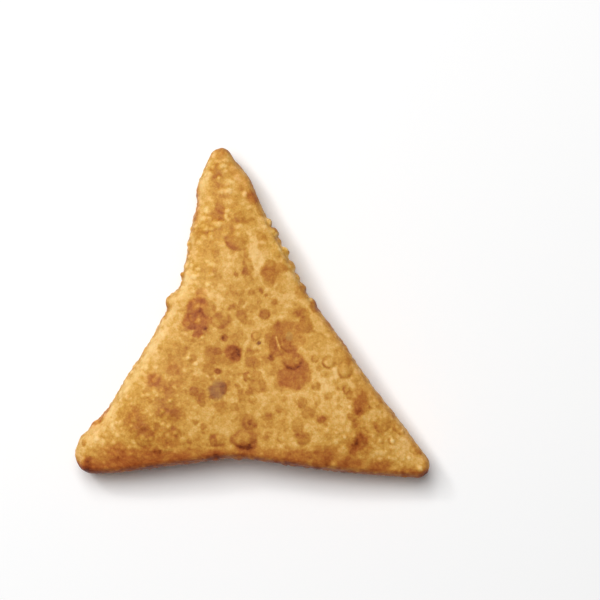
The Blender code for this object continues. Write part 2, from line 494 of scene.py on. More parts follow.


# %% [markdown]
# ## Where the crust is rough and where it is smooth
#
# Steam lifts the dough most where it is folded and thin. On this piece the left half of the upper
# arm, both lower tips and the side wall are thick with pebbles, the middle of the face is nearly
# smooth, and a smooth strip runs down the left edge, painted pale as a highlight where the rounded
# edge faces the lamp. Masks from 0 to 1 say where each holds.

# %% Masks over the skin
# x, y, radius, amount
ROUGH_PLACES = (
    (-10.5, 24.0, 7.0, 0.90),
    (-8.0, 37.0, 6.0, 0.60),
    (-13.0, 9.0, 6.0, 0.80),
    (-16.5, -4.0, 5.0, 0.45),
    (-24.0, -18.0, 7.0, 0.40),
    (-34.0, -31.0, 11.0, 0.45),
    (-20.0, -33.0, 8.0, 0.25),
    (6.0, 19.0, 4.0, 0.70),
    (34.0, -34.0, 11.0, 0.30),
    (24.0, -35.0, 7.0, 0.20),
)
PLAIN_ROUGHNESS = 0.18
WALL_ROUGHNESS = 0.60
TIP_CALM = 0.7  # how much less the tightly pinched tips blister on their walls


def plan_distance(x0, y0):
    """Distance from a vertical line, for every vertex."""
    return np.hypot(skin_points[:, 0] - x0, skin_points[:, 1] - y0)


def bells(places):
    """Sum of amount * exp(-(d / radius)^2) over rows of (x, y, radius, amount)."""
    return sum(amount * np.exp(-((plan_distance(x0, y0) / radius) ** 2)) for x0, y0, radius, amount in places)


def beside_left_edge(reach_in):
    """1 on the wall and rim from the left tip to the top one, down to 0 that far in from the edge."""
    return left_column * smooth_step(reach_in, 0.35 * reach_in, from_edge)


x, y, z = skin_points.T
faces_up = smooth_step(0.30, 0.75, outwards[:, 2])
faces_down = smooth_step(-0.30, -0.85, outwards[:, 2])
upper_half = smooth_step(5.5, 9.0, z)
from_edge = np.concatenate([plain_distance(part[:, :2], outline) for part in np.array_split(skin_points, 40)])
left_column = np.zeros(len(skin_points))
left_column[grid] = on_left
# Along the left edge the crust is painted paler as a highlight, where the rounded edge faces the lamp.
painted_highlight_strip = beside_left_edge(3.8 + 1.2 * soft_noise(skin_points, 7.0, 12)) * upper_half
steep = smooth_step(0.40, 0.05, np.abs(outwards[:, 2])) * (1.0 - beside_left_edge(3.0))
patchy = 0.85 + 0.45 * soft_noise(skin_points, 4.0, 13)
on_wall = (1.0 - faces_up) * (1.0 - TIP_CALM * taper(skin_points[:, :2]))
roughness_of_crust = PLAIN_ROUGHNESS + bells(ROUGH_PLACES) * patchy + WALL_ROUGHNESS * on_wall
roughness_of_crust = np.clip(roughness_of_crust + 0.10 * painted_highlight_strip, 0.08, 1.0)
plain_face = faces_up * smooth_step(0.75, 0.25, roughness_of_crust)
print("mean roughness of the crust:", round(roughness_of_crust.mean(), 2))

# %% [markdown]
# ## Blisters with a rim
#
# Bigger steam bubbles leave low round domes. Their rim is darker: it browns first, because the oil
# is trapped in the groove round them, and painted shade adds to it, darkest at the lower left of a
# rim, the side turned from the lamp. Random domes would do, but the ones on the broad face give this
# samosa its look, so they are listed one by one.

# %% Blisters on the broad face
# x, y, radius, height over width, rise, darkening of the rim (browning and painted shade), browning of the middle
RIMMED = (
    (-4.0, 19.0, 3.0, 0.93, 0.18, 0.15, 0.07),
    (-3.4, 25.3, 1.5, 0.95, 0.12, 0.10, 0.12),
    (-3.3, 25.9, 2.8, 0.9, 0.08, 0.11, 0.02),
    (-3.9, 5.7, 2.2, 0.95, 0.06, 0.07, 0.08),
    (-3.4, 5.0, 1.2, 0.9, 0.06, 0.10, 0.13),
    (-0.2, 5.0, 1.1, 0.8, 0.05, 0.06, 0.15),
    (8.0, 5.7, 1.0, 1.0, 0.06, 0.13, 0.0),
    (5.8, 2.4, 0.9, 1.0, 0.05, 0.05, 0.10),
    (1.9, 2.4, 0.7, 1.0, 0.05, 0.14, 0.06),
    (-7.1, 1.3, 1.4, 1.0, 0.06, 0.12, 0.03),
    (-0.3, 0.7, 1.5, 0.9, 0.04, 0.04, 0.10),
    (-2.9, -1.2, 1.4, 0.9, 0.06, 0.10, 0.15),
    (-2.1, -2.6, 1.2, 0.8, 0.05, 0.06, 0.15),
    (3.3, -0.8, 1.35, 1.0, 0.10, 0.16, 0.24),
    (-1.7, 15.6, 0.7, 2.2, 0.05, 0.10, 0.14),
    (-7.4, -7.2, 0.85, 1.3, -0.10, 0.12, 0.22),
    (-3.5, -7.2, 2.3, 0.6, 0.05, 0.05, 0.11),
    (0.9, -6.7, 1.2, 1.1, 0.12, 0.24, 0.08),
    (0.0, -13.7, 2.0, 0.85, 0.10, 0.10, 0.19),
    (1.1, -14.6, 1.0, 1.0, 0.05, 0.10, 0.06),
    (-2.8, -22.8, 1.3, 1.0, 0.05, 0.05, 0.11),
    (0.0, -23.6, 1.1, 1.0, 0.05, 0.11, 0.03),
    (-8.1, -25.6, 2.1, 0.7, 0.06, 0.05, 0.12),
    (-0.6, -29.6, 0.8, 1.0, -0.10, 0.16, 0.26),
    (-0.6, -29.6, 1.9, 1.0, 0.10, 0.15, 0.07),
    (4.2, -28.2, 1.9, 0.7, 0.05, 0.05, 0.14),
    (-9.2, -34.5, 2.1, 0.85, 0.16, 0.19, 0.13),
    (-2.1, -34.4, 3.2, 0.75, 0.20, 0.24, 0.17),
    (4.3, -33.0, 0.9, 0.9, 0.06, 0.12, 0.06),
    (8.1, -33.9, 1.4, 0.9, 0.06, 0.12, 0.02),
    (12.1, -23.8, 0.9, 1.0, 0.06, 0.11, 0.0),
    (13.5, -33.8, 2.1, 0.95, 0.10, 0.09, 0.18),
    (9.7, -35.9, 1.1, 0.9, 0.05, 0.08, 0.06),
    (14.7, -27.0, 2.0, 0.85, 0.08, 0.07, 0.16),
    (18.6, -28.7, 1.7, 0.9, 0.05, 0.05, 0.10),
    (12.4, 0.6, 1.5, 0.9, 0.06, 0.05, 0.08),
    (13.6, -0.8, 1.8, 0.85, 0.10, 0.09, 0.13),
    (15.3, -9.0, 2.0, 0.8, 0.06, 0.08, 0.09),
    (16.7, -12.8, 0.85, 1.0, 0.10, 0.19, 0.02),
    (20.3, -13.7, 1.6, 1.0, 0.20, 0.28, 0.06),
    (18.2, -14.8, 0.8, 1.0, 0.06, 0.14, 0.0),
    (18.9, -16.8, 0.8, 1.0, 0.05, 0.12, 0.0),
    (24.8, -15.8, 2.0, 1.15, 0.22, 0.24, 0.13),
    (25.1, -20.6, 0.9, 1.7, 0.12, 0.22, 0.08),
    (20.2, -22.7, 1.2, 1.0, 0.05, 0.05, 0.14),
    (35.0, -30.2, 2.3, 1.0, 0.10, 0.10, 0.10),
    (37.5, -34.6, 1.1, 1.0, 0.12, 0.15, -0.04),
    (-28.6, -33.9, 2.4, 1.0, 0.10, 0.13, -0.02),
    (-14.3, -21.8, 1.9, 1.0, 0.05, 0.04, 0.15),
    (-12.7, -31.5, 1.2, 0.9, 0.05, 0.11, 0.03),
)
# Small tight bubbles that stand up; their glints are painted on them as pale tops: x, y, radius
PEARLS = (
    (-8.5, 39.0, 1.0),
    (-10.6, 39.0, 0.7),
    (-11.2, 37.0, 0.9),
    (-9.0, 36.0, 0.7),
    (-6.4, 32.2, 1.2),
    (-2.0, 31.7, 0.9),
    (-11.5, 24.8, 0.8),
    (-9.3, 23.1, 1.1),
    (-7.0, 25.4, 0.7),
    (-11.2, 20.4, 0.9),
    (-12.4, 27.2, 0.7),
    (-15.4, 9.0, 0.9),
    (-12.0, 7.0, 0.8),
    (-14.5, 1.3, 0.7),
    (-14.5, -2.7, 0.8),
    (-16.5, -1.4, 0.6),
    (-13.4, -7.0, 0.8),
    (-17.0, -12.5, 0.8),
    (-15.0, -14.2, 0.6),
    (-20.8, -20.3, 0.7),
    (-22.0, -24.0, 0.6),
    (-41.5, -34.0, 0.8),
    (44.8, -42.0, 1.0),
    (40.0, -32.2, 0.7),
    (41.9, -39.2, 0.6),
    (25.9, -25.6, 0.6),
    (24.6, -33.6, 0.6),
    (37.3, -34.6, 0.7),
    (-0.9, -17.4, 0.8),
)
RIM_DARK_TOWARDS = math.atan2(LOWER_LEFT[1], LOWER_LEFT[0])
PEARL_RISE, PEARL_PAINTED_GLINT = 0.36, 0.30
RIM_STRENGTH, MIDDLE_STRENGTH = 1.7, 1.35


def flat_place(cx, cy, turn=0.0):
    """Every vertex's place seen from above, measured from (cx, cy) along axes turned by that many degrees."""
    angle = math.radians(turn)
    dx, dy = x - cx, y - cy
    return dx * math.cos(angle) + dy * math.sin(angle), -dx * math.sin(angle) + dy * math.cos(angle)


def rimmed_blisters():
    """Relief and browning of the listed blisters.

    With q the distance over the radius, a dome is (1 - q^2)^1.5 inside, with a shallow bell-shaped
    groove at q = 1.1. The rim's darkening is a bell at q = 0.97, browning with painted shade added,
    stronger towards the lower left, where the shade falls.
    """
    relief, brown, fill = (np.zeros(len(x)) for _ in range(3))
    wobble = 0.14 * soft_noise(skin_points, 1.8, 21)
    for cx, cy, radius, tall, rise, rim_brown_and_shade, middle_brown in RIMMED:
        u, v = flat_place(cx, cy)
        q = np.hypot(u / radius, v / (radius * tall)) + wobble
        # darker to the lower left: painted shade on the side turned from the lamp
        side = 0.62 + 0.38 * np.cos(np.arctan2(v, u) - RIM_DARK_TOWARDS)
        width = 0.13 + 0.12 / radius
        relief += rise * (np.clip(1.0 - q * q, 0.0, 1.0) ** 1.5 - 0.25 * np.exp(-(((q - 1.1) / 0.16) ** 2)))
        brown += RIM_STRENGTH * rim_brown_and_shade * side * np.exp(-(((q - 0.97) / width) ** 2))
        fill = np.maximum(fill, MIDDLE_STRENGTH * middle_brown * smooth_step(1.10, 0.70, q))
    return relief * faces_up, (brown + fill) * faces_up


def pearls():
    """Relief and painted glint of the small tight bubbles: 1 - q^2, for the distance q over the radius."""
    relief, pale = np.zeros(len(x)), np.zeros(len(x))
    for cx, cy, radius in PEARLS:
        dome = np.clip(1.0 - (plan_distance(cx, cy) / radius) ** 2, 0.0, 1.0) * upper_half
        relief += PEARL_RISE * radius * dome
        # the pale tops are painted glints
        pale = np.maximum(pale, dome)
    return relief, pale


rim_relief, rim_brown_and_shade = rimmed_blisters()
pearl_relief, pearl_painted_glint = pearls()
print("rimmed blisters:", len(RIMMED), "highest", round(rim_relief.max(), 2), "mm; pearls:", len(PEARLS))

# %% [markdown]
# ## Stains, creases and the burst blister
#
# Where dough touched hot metal or a blister burst, the crust turned a reddish brown with a soft,
# uneven edge. A stain is an ellipse whose edge is shaken by soft noise. The biggest blister on the
# face burst and sank: it is two stains, one over the other, with a crescent crease between them and
# a pale torn edge on its left. A crease is a groove that follows one straight stretch.

# %% Stains and creases
# x, y, half width, half height, turn in degrees, browning, reddening, rise
STAINS = (
    (-13.9, 4.4, 1.9, 2.0, 0.0, 0.16, 0.36, 0.0),
    (-14.7, 1.2, 2.5, 2.8, 0.0, 0.32, 0.56, 0.05),
    (-14.7, -2.9, 3.6, 2.6, 0.0, 0.34, 0.56, 0.0),
    (-14.6, -6.0, 1.4, 1.5, 0.0, 0.31, 0.46, 0.0),
    (-14.0, 2.4, 0.9, 0.8, 0.0, 0.46, 0.55, 0.0),
    (-13.6, -0.4, 0.8, 1.4, 0.0, 0.50, 0.45, 0.0),
    (-16.0, -4.4, 1.3, 0.8, 0.0, 0.44, 0.46, 0.0),
    (-12.8, -4.5, 0.9, 0.8, 0.0, 0.44, 0.46, 0.0),
    (-10.2, 1.8, 2.2, 2.6, 0.0, -0.12, 0.0, 0.0),
    (-8.8, -2.2, 2.8, 2.4, 0.0, -0.12, 0.0, 0.0),
    (4.0, 10.5, 2.0, 2.2, 0.0, 0.28, 0.30, 0.05),
    (7.1, 11.5, 2.3, 1.4, 0.0, 0.25, 0.22, 0.0),
    (5.2, 9.0, 2.3, 1.7, 0.0, 0.24, 0.20, 0.0),
    (4.5, 7.2, 1.2, 1.0, 0.0, 0.20, 0.12, 0.0),
    (9.4, -6.4, 4.7, 3.6, -12.0, 0.24, 0.22, -0.12),
    (9.6, -3.9, 4.1, 1.2, 0.0, 0.27, 0.22, 0.0),
    (13.0, -3.9, 1.2, 1.1, 0.0, 0.29, 0.18, 0.0),
    (8.6, -10.0, 3.9, 2.8, 0.0, 0.22, 0.24, -0.12),
    (10.4, -13.0, 3.4, 2.4, 0.0, 0.22, 0.20, -0.10),
    (10.8, -17.0, 4.1, 4.0, 0.0, 0.30, 0.34, -0.08),
    (9.6, -18.8, 2.6, 1.6, 10.0, 0.37, 0.50, 0.0),
    (13.2, -14.2, 1.5, 1.9, 0.0, 0.36, 0.15, 0.0),
    (5.5, -9.3, 1.1, 2.4, 0.0, 0.34, 0.28, 0.0),
    (9.1, -8.9, 1.2, 1.0, 0.0, 0.32, 0.30, 0.0),
    (-5.0, -11.6, 2.0, 2.2, 15.0, 0.34, 0.38, 0.08),
    (-4.4, -12.2, 1.3, 1.6, 20.0, 0.44, 0.40, 0.0),
    (18.6, -28.9, 0.9, 0.9, 0.0, 0.30, 0.35, 0.0),
    (-45.0, -35.2, 0.6, 1.0, 0.0, 0.36, 0.20, 0.0),
    (-8.6, 27.5, 1.2, 1.5, 20.0, 0.18, 0.22, 0.0),
    (-5.5, 17.3, 2.1, 0.9, -28.0, 0.16, 0.15, 0.0),
    (-15.1, 29.0, 1.0, 5.0, 0.0, 0.16, 0.50, 0.0),
    (-40.9, -28.4, 1.1, 3.8, -39.0, 0.24, 0.60, 0.0),
    (2.8, 18.6, 1.5, 2.5, 0.0, 0.15, 0.12, 0.0),
    (13.0, 5.0, 1.5, 2.2, 30.0, 0.22, 0.15, 0.0),
    (16.6, 1.0, 1.3, 1.5, 0.0, 0.28, 0.15, 0.0),
    (-9.4, -21.3, 2.4, 2.5, 0.0, 0.19, -0.36, 0.05),
    (-10.9, -20.6, 0.9, 0.9, 0.0, 0.32, -0.20, 0.0),
    (-7.7, -20.9, 0.9, 1.6, 0.0, 0.34, 0.10, 0.0),
    (-10.6, -22.9, 1.1, 0.8, 0.0, 0.36, -0.20, 0.0),
    (-9.4, -16.1, 0.9, 0.8, 0.0, 0.46, 0.10, 0.0),
    (1.6, -8.7, 0.6, 0.5, 0.0, 0.50, -0.30, 0.0),
    # painted glint: a pale grey reflection on the burst blister
    (9.8, -6.8, 1.1, 1.2, 0.0, -0.10, -0.45, 0.0),
)
# The same, for patches that fade over their whole width. The rows along the bottom rim are partly stains and partly
# painted shade, where the rim turns from the lamp.
FADING_STAINS_AND_RIM_SHADE = (
    (28.8, -24.6, 3.2, 4.8, -8.0, 0.16, 0.15, 0.0),
    (28.6, -24.4, 2.3, 3.5, -8.0, 0.36, 0.44, 0.05),
    (28.3, -26.6, 1.7, 1.6, 0.0, 0.45, 0.38, 0.0),
    (29.0, -34.8, 3.6, 5.0, -22.0, 0.22, 0.22, 0.0),
    (29.4, -34.6, 2.2, 3.5, -22.0, 0.38, 0.30, -0.05),
    (28.6, -34.4, 1.3, 3.0, -32.0, 0.56, 0.38, -0.06),
    (26.9, -37.0, 1.8, 1.9, 0.0, 0.45, 0.45, 0.0),
    # along the bottom rim: partly stain, partly painted shade
    (20.0, -38.3, 5.4, 2.0, 0.0, 0.24, 0.36, 0.0),
    (11.0, -38.6, 5.6, 2.0, 0.0, 0.23, 0.34, 0.0),
    (-1.5, -37.4, 5.0, 1.5, 0.0, 0.27, 0.30, 0.0),
    (5.0, -38.2, 4.0, 1.5, 0.0, 0.23, 0.30, 0.0),
    (26.0, -40.0, 4.0, 1.6, 0.0, 0.24, 0.36, 0.0),
    (33.8, -41.2, 2.8, 1.9, 0.0, 0.30, 0.35, 0.0),
    (-21.3, -12.2, 3.6, 4.8, 0.0, 0.15, 0.0, 0.0),
    (-21.0, -15.4, 2.2, 1.9, 0.0, 0.22, 0.30, 0.0),
    (-26.5, -18.7, 2.2, 2.1, 0.0, 0.26, 0.50, 0.0),
    (-22.9, -20.6, 2.3, 2.1, 0.0, 0.17, 0.15, 0.0),
    (-31.0, -28.4, 3.0, 2.6, 0.0, 0.22, 0.22, 0.0),
    (-28.9, -31.5, 2.0, 1.8, 0.0, 0.20, 0.10, 0.0),
    (-27.2, -33.6, 1.5, 2.4, 0.0, 0.22, 0.10, 0.0),
    (-22.5, -34.3, 2.9, 2.6, 0.0, 0.20, 0.30, 0.0),
    (-20.3, -27.2, 2.4, 2.0, 0.0, 0.15, 0.10, 0.0),
    # along the bottom rim of the left tip: partly stain, partly painted shade
    (-35.6, -37.2, 3.2, 1.8, 0.0, 0.25, 0.60, 0.0),
    (-35.0, -39.2, 6.0, 3.0, 0.0, 0.26, 0.75, 0.0),
    (-27.0, -38.8, 4.5, 2.4, 0.0, 0.19, 0.55, 0.0),
    (-19.6, -38.8, 4.2, 1.8, 0.0, 0.18, 0.50, 0.0),
    (-16.0, -37.3, 2.4, 1.2, 0.0, 0.16, 0.25, 0.0),
    (-9.8, -38.0, 3.0, 1.4, 0.0, 0.28, 0.40, 0.0),
    (-42.8, -41.0, 4.4, 2.4, 0.0, 0.26, 0.60, 0.0),
    (-27.2, -13.2, 1.0, 1.6, 0.0, 0.12, 0.0, 0.0),
    (-8.4, 24.4, 0.9, 1.2, 0.0, 0.14, 0.10, 0.0),
    (-8.3, 33.8, 2.4, 1.2, 0.0, 0.08, 0.08, 0.0),
    (-7.6, 30.4, 2.4, 0.9, 0.0, 0.09, 0.08, 0.0),
    (-0.1, 30.9, 2.3, 1.8, -30.0, 0.36, 0.65, 0.0),
    (-3.2, 36.5, 5.4, 2.0, -57.0, 0.08, 0.32, 0.0),
    (-8.5, 43.2, 3.0, 1.8, 0.0, 0.16, 0.30, 0.0),
    (-3.1, 33.1, 1.1, 1.3, 0.0, 0.15, 0.25, 0.0),
    (-2.2, 36.0, 2.2, 0.8, -45.0, 0.16, 0.20, 0.0),
)
# from x, y, to x, y, half width, depth, browning
CREASES = (
    (8.5, -14.0, 9.4, -15.1, 0.38, 0.12, 0.24),
    (9.4, -15.1, 10.9, -15.5, 0.44, 0.14, 0.28),
    (10.9, -15.5, 12.3, -14.9, 0.40, 0.14, 0.26),
    (12.3, -14.9, 12.9, -13.8, 0.36, 0.10, 0.20),
    (7.8, -9.9, 9.5, -11.1, 0.38, 0.09, 0.18),
    (9.5, -11.1, 11.2, -10.6, 0.34, 0.06, 0.12),
    (6.2, -7.0, 6.7, -8.6, 0.26, -0.14, -0.40),
    (6.7, -8.6, 7.3, -10.2, 0.26, -0.14, -0.40),
    (-0.9, -35.7, 0.9, -34.6, 0.40, 0.14, 0.30),
    (0.5, -12.0, 2.9, -12.6, 0.22, 0.06, 0.14),
    (-9.9, -35.9, -7.9, -35.6, 0.30, 0.08, 0.14),
    (-16.8, -37.0, -14.8, -36.6, 0.24, 0.06, 0.14),
)


def stains():
    """Browning, reddening and relief of the stains: a smooth step across the shaken ellipse's edge.

    Where stains overlap the strongest counts, so that several make one patch. The few that lighten
    or grey the crust are kept apart and added at the end; one of them is a painted grey glint on the
    burst blister. The rows along the bottom rim add painted shade there as well as stain.
    """
    brown, pale, red, grey, relief = (np.zeros(len(x)) for _ in range(5))
    shake = 0.20 * soft_noise(skin_points, 2.6, 31) + 0.20 * soft_noise(skin_points, 1.1, 32)
    uneven = 1.0 + 0.30 * layered_noise(skin_points, 1.3, 33, 2)
    kinds = [(row, 1.28, 0.74) for row in STAINS] + [(row, 1.55, 0.35) for row in FADING_STAINS_AND_RIM_SHADE]
    for (cx, cy, half_width, half_height, turn, browning, reddening, rise), outer, inner in kinds:
        u, v = flat_place(cx, cy, turn)
        inside = smooth_step(outer, inner, np.hypot(u / half_width, v / half_height) + shake)
        brown, pale = np.maximum(brown, browning * inside), np.minimum(pale, browning * inside)
        red, grey = np.maximum(red, reddening * inside), np.minimum(grey, reddening * inside)
        relief += rise * inside
    return (brown * uneven + pale) * upper_half, (red + grey) * upper_half, relief * faces_up


def creases():
    """Depth and browning of the creases: bells of the distance to each straight stretch.

    Where stretches join, the strongest counts, so that they make one line. The pale torn edge is
    raised and lightened instead, and kept apart.
    """
    depth, brown, lifted, pale = (np.zeros(len(x)) for _ in range(4))
    for x0, y0, x1, y1, half_width, deep, browning in CREASES:
        along = np.array([x1 - x0, y1 - y0])
        share = np.clip(((x - x0) * along[0] + (y - y0) * along[1]) / (along @ along), 0.0, 1.0)
        bell = np.exp(-((plan_distance(x0 + share * along[0], y0 + share * along[1]) / half_width) ** 2))
        depth, lifted = np.maximum(depth, deep * bell), np.minimum(lifted, deep * bell)
        brown, pale = np.maximum(brown, browning * bell), np.minimum(pale, browning * bell)
    return (depth + lifted) * faces_up, (brown + pale) * faces_up


stain_brown, stain_red, stain_relief = stains()
crease_depth, crease_brown = creases()
print("stains:", len(STAINS) + len(FADING_STAINS_AND_RIM_SHADE), "creases:", len(CREASES))

# %% [markdown]
# ## Bubbles on the edge, and the pebbled crust
#
# Seen against the light, the edge is a row of small bumps. A few big ones are listed where the
# outline is plainly lumpy. Everywhere else three sizes of scattered domes overlap, from bubbles of
# a few millimetres down to pebbles of about one.

# %% Relief of the whole crust
# x, y, radius, rise
EDGE_BUBBLES = (
    (4.2, 24.0, 1.3, 0.9),
    (5.6, 21.2, 1.6, 1.1),
    (6.8, 18.7, 1.1, 0.7),
    (8.3, 15.9, 1.5, 1.1),
    (10.3, 12.0, 1.6, 0.8),
    (12.0, 9.0, 1.3, 0.6),
    (13.6, 6.6, 1.5, 0.7),
    (16.4, 2.6, 1.6, 0.7),
    (19.2, -3.4, 1.2, 0.5),
    (22.4, -9.4, 1.4, 0.5),
    (26.3, -17.6, 1.1, 0.6),
    (27.6, -20.2, 0.9, 0.4),
    (-16.9, 17.9, 0.9, 0.4),
    (-19.4, 10.0, 1.0, 0.8),
    (-22.8, 2.6, 2.0, 0.5),
    (-42.5, -30.6, 2.2, 0.5),
    (-17.7, -40.2, 1.1, 0.4),
    (-9.7, -38.8, 1.4, 0.4),
    (-3.6, -39.2, 1.5, 0.4),
)
BUBBLE_SPACING, BLISTER_SPACING, PEBBLE_SPACING = 5.6, 3.0, 1.6
PEBBLE_ROW_X, PEBBLE_STRETCH = -10.0, 0.45  # on the upper arm pebbles are wider than tall
LUMP_SIZE, SMALL_LUMP_SIZE = 13.0, 4.5
EDGE_BUBBLE_LIFT = 0.8  # how far above the wall's top the edge bubbles sit


def edge_bubbles():
    """Domes where the wall turns into the roll, each 1 - (d / radius)^2 for the distance d, to the power 0.8."""
    relief = np.zeros(len(x))
    above_wall = z - wall_top(skin_points[:, :2]) - EDGE_BUBBLE_LIFT
    for cx, cy, radius, rise in EDGE_BUBBLES:
        dome = 1.0 - (plan_distance(cx, cy) / radius) ** 2 - (above_wall / (1.5 * radius)) ** 2
        relief += rise * np.clip(dome, 0.0, 1.0) ** 0.8
    return relief * smooth_step(1.0, 0.6, outwards[:, 2])


tips = taper(skin_points[:, :2])
squeezed = skin_points.copy()
squeezed[:, 0] += PEBBLE_STRETCH * smooth_step(2.0, 10.0, y) * (PEBBLE_ROW_X - x)
lumps = 0.12 * layered_noise(skin_points, LUMP_SIZE, 41, 2) + 0.03 * soft_noise(skin_points, SMALL_LUMP_SIZE, 44)
uneven_circles = stirred(skin_points, 3.0, 0.7, 45)
bubble, bubble_tone, bubble_lean = scattered_domes(uneven_circles, BUBBLE_SPACING, 1.5, 3.0, 0.90, 51)
uneven_circles = stirred(skin_points, 1.6, 0.35, 48)
blister, blister_tone, blister_lean = scattered_domes(uneven_circles, BLISTER_SPACING, 0.8, 1.7, 0.75, 61)
pebble, pebble_tone, _ = scattered_domes(squeezed, PEBBLE_SPACING, 0.55, 1.0, 0.9, 71)
bubble_dome, blister_dome, pebble_dome = (np.clip(dome, 0.0, 1.0) for dome in (bubble, blister, pebble))
relief = (
    lumps
    + 0.18 * bubble_dome**1.3 * (1.0 - 0.80 * plain_face) * (1.0 - painted_highlight_strip) * (1.0 - TIP_CALM * tips)
    + 0.20 * blister_dome * roughness_of_crust * blister_tone * 2.0
    + 0.24 * pebble_dome**0.9 * roughness_of_crust * (0.5 + pebble_tone)
    + rim_relief
    + pearl_relief
    + stain_relief
    - crease_depth
    + edge_bubbles()
)
print("relief, mm:", round(relief.min(), 2), "to", round(relief.max(), 2))

# %% [markdown]
# ## Pressed flat below, and held to size
#
# The samosa's own weight flattens what it rests on, so nothing may reach below the floor. The
# finished crust is then fitted to the frame's box, which changes it by a fraction of a millimetre.

# %% Move the skin by its relief
REST_SOFTNESS = 0.35


def pressed_on_floor(points):
    """Heights below zero are pressed up: height h becomes the larger of h and 0, rounded over REST_SOFTNESS."""
    h = points[:, 2]
    flat = 0.5 * (h + np.sqrt(h * h + REST_SOFTNESS**2)) - 0.5 * REST_SOFTNESS
    return np.column_stack([points[:, :2], np.where(h < 3.0, np.maximum(flat, 0.0), h)])


def fitted_to_frame(points):
    """Each axis is stretched evenly, so that the lowest and highest places are the frame's."""
    least, most = points.min(axis=0), points.max(axis=0)
    return low + (points - least) * (high - low) / (most - least)


crust_points = fitted_to_frame(pressed_on_floor(skin_points + relief[:, None] * outwards))
crust_mesh.vertices.foreach_set("co", (crust_points * MM).astype(np.float32).ravel())
crust_mesh.update()
print("crust moved by at most", round(np.abs(crust_points - skin_points).max(), 2), "mm")

# %% [markdown]
# ## How far each place has fried, and where light and shade are painted
#
# Frying takes wheat dough from cream through gold and amber to a reddish brown. One number for each
# vertex says how far it has gone; the material turns that number into a colour. It adds up broad
# zones, soft mottling, the stains and rims, and the pebbles: their tops are paler than the grooves
# between them, where oil collects, and the difference is partly painted, a highlight on the tops and
# shade in the grooves. The same number carries more painted light: a highlight down the left edge,
# glints on the tight bubbles, and shade on the lower side and the lower rim.

# %% Browning and reddening
# Broad zones of the face: x, y, radius, browning. The darker one at (-26, -41) is painted shade, where the lower rim
# of the left tip turns from the lamp.
BROWN_ZONES = (
    (-1.5, 29.0, 4.0, -0.09),
    (-10.5, 22.0, 5.0, 0.05),
    (-16.5, 14.0, 3.0, -0.08),
    (-19.0, 6.0, 3.0, -0.06),
    (-22.0, -4.0, 5.0, -0.14),
    (-26.5, -10.5, 4.0, -0.07),
    (-38.0, -28.5, 4.5, -0.13),
    (-35.0, -33.0, 3.5, 0.08),
    (-29.0, -27.0, 11.0, 0.05),
    # painted shade on the lower rim of the left tip
    (-26.0, -41.0, 7.0, 0.06),
    (-16.0, -9.0, 10.0, 0.05),
    (-12.5, -12.0, 4.0, -0.04),
    (-5.0, -11.0, 6.0, 0.07),
    (0.5, 3.0, 3.0, 0.05),
    (0.5, 12.5, 3.5, -0.18),
    (6.0, 18.0, 5.0, -0.08),
    (10.5, 7.0, 5.0, -0.10),
    (18.0, -6.0, 6.0, 0.02),
    (23.0, -17.0, 5.0, -0.11),
    (20.0, -20.0, 7.0, -0.06),
    (-8.0, -20.0, 8.0, 0.04),
    (5.0, -14.0, 5.0, 0.05),
    (16.5, -28.0, 4.0, 0.08),
    (20.0, -34.0, 4.0, -0.05),
    (10.0, -33.0, 3.5, 0.05),
    (1.0, -18.5, 4.0, -0.15),
    (-5.0, -28.0, 3.5, -0.03),
    (33.0, -33.0, 10.0, -0.06),
    (36.0, -29.0, 4.5, -0.08),
)
BASE_BROWNING = 0.265
BUBBLE_BROWNING, BLISTER_BROWNING, RING_SHARE = 0.32, 0.28, 0.35
SMUDGE_SIZE = 3.4  # of the soft brown smudges between the blisters


def marks_of(height, tone, lean):
    """The browning a scattered bubble leaves, from 0 to 1 or so.

    A soft disc fills the bubble from its foot inwards. Its strength is the square of the bubble's
    tone, so few are dark. A ring just inside the foot is darker to the lower left: browning with
    painted shade on the side turned from the lamp.
    """
    disc = tone**2 * smooth_step(-0.10, 0.50, height)
    # the ring is partly browning, partly painted shade, darker to the lower left away from the lamp
    ring = tone * np.exp(-(((height - 0.22) / 0.20) ** 2)) * (0.6 + 0.6 * np.clip(lean, -1.0, 1.0))
    return disc + RING_SHARE * ring


scattered_marks = np.maximum(
    BUBBLE_BROWNING * marks_of(bubble, bubble_tone, bubble_lean),
    BLISTER_BROWNING * marks_of(blister, blister_tone, blister_lean),
)
placed_marks = stain_brown + rim_brown_and_shade
scattered_marks *= 0.45 + 0.55 * plain_face
marks = np.maximum(scattered_marks, placed_marks) + np.minimum(placed_marks, 0.0)
mottling = 0.065 * layered_noise(skin_points, 7.0, 81, 2)
smudges = smooth_step(0.0, 0.95, layered_noise(skin_points, SMUDGE_SIZE, 85))
